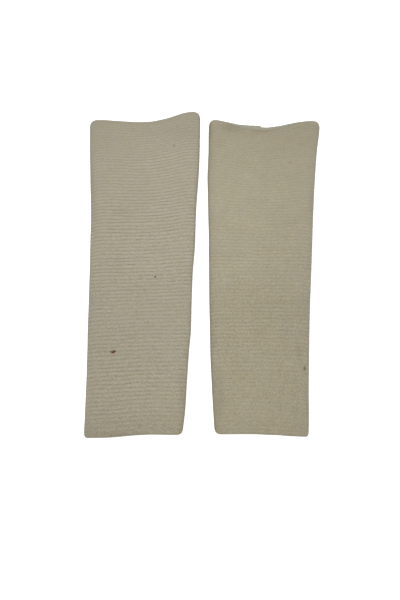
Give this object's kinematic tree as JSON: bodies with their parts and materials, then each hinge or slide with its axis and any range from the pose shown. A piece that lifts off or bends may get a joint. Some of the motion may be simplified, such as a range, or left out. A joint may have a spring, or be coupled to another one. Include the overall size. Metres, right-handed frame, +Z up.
{
  "type": "pair of knee warmers",
  "caption": "Ribbed knit tubes that warm the knees, wider at the thigh than at the calf, laid flat side by side.",
  "frame": {"origin": "on the floor, under the middle of the box round both warmers", "axes": "+Z up from the floor, +Y up the leg towards the thigh openings, +X from the left warmer to the right one"},
  "size_m": [0.2356, 0.3256, 0.0052],
  "materials": {
    "knit_left": "matt undyed knit with crosswise ribs, slightly aged, a few small stains",
    "knit_right": "matt undyed knit with faint crosswise ribs, pebbled and plain in its lower quarter"
  },
  "bodies": {
    "root": {"warmer_left": "knit_left", "warmer_right": "knit_right"}
  },
  "joints": []
}
